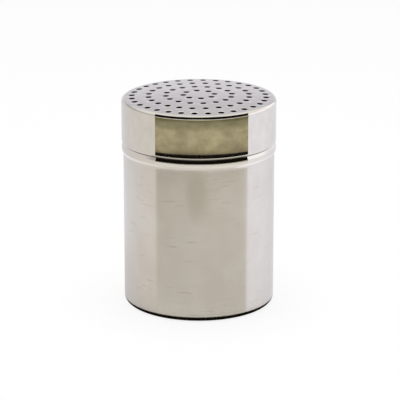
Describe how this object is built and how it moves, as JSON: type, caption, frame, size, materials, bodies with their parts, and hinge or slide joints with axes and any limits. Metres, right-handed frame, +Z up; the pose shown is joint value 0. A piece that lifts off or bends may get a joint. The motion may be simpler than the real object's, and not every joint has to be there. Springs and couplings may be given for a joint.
{
  "type": "spice shaker",
  "caption": "Round stainless steel spice shaker with a brushed cup body and a polished, perforated, slightly domed lid that screws off.",
  "frame": {"origin": "middle of the base, on the surface that the shaker stands on", "axes": "+Z up along the shaker's axis, -Y towards the viewer of the picture, +X to the viewer's right"},
  "size_m": [0.07, 0.07, 0.0967],
  "materials": {
    "body_steel": "satin stainless steel, brushed round the axis",
    "inner_steel": "plain pressed stainless steel",
    "lid_steel": "polished stainless steel",
    "seal_rubber": "soft translucent silicone rubber"
  },
  "bodies": {
    "shaker_body": {"body_shell": "body_steel", "neck_ring": "inner_steel"},
    "seal": {"lid_seal": "seal_rubber"},
    "lid": {"lid_shell": "lid_steel", "lid_thread_ring": "inner_steel"}
  },
  "joints": [
    {"name": "lid_lift", "type": "slide", "parent": "shaker_body", "child": "seal", "axis": [0, 0, 1], "range_m": [0, 0.02026]},
    {"name": "lid_turn", "type": "hinge", "parent": "seal", "child": "lid", "pos_m": [0, 0, 0.085], "axis": [0, 0, 1], "range_deg": [0, 1620]}
  ],
  "couplings": [
    {"joint": "lid_lift", "follows": "lid_turn", "m_per_rad": 0.0007162}
  ]
}
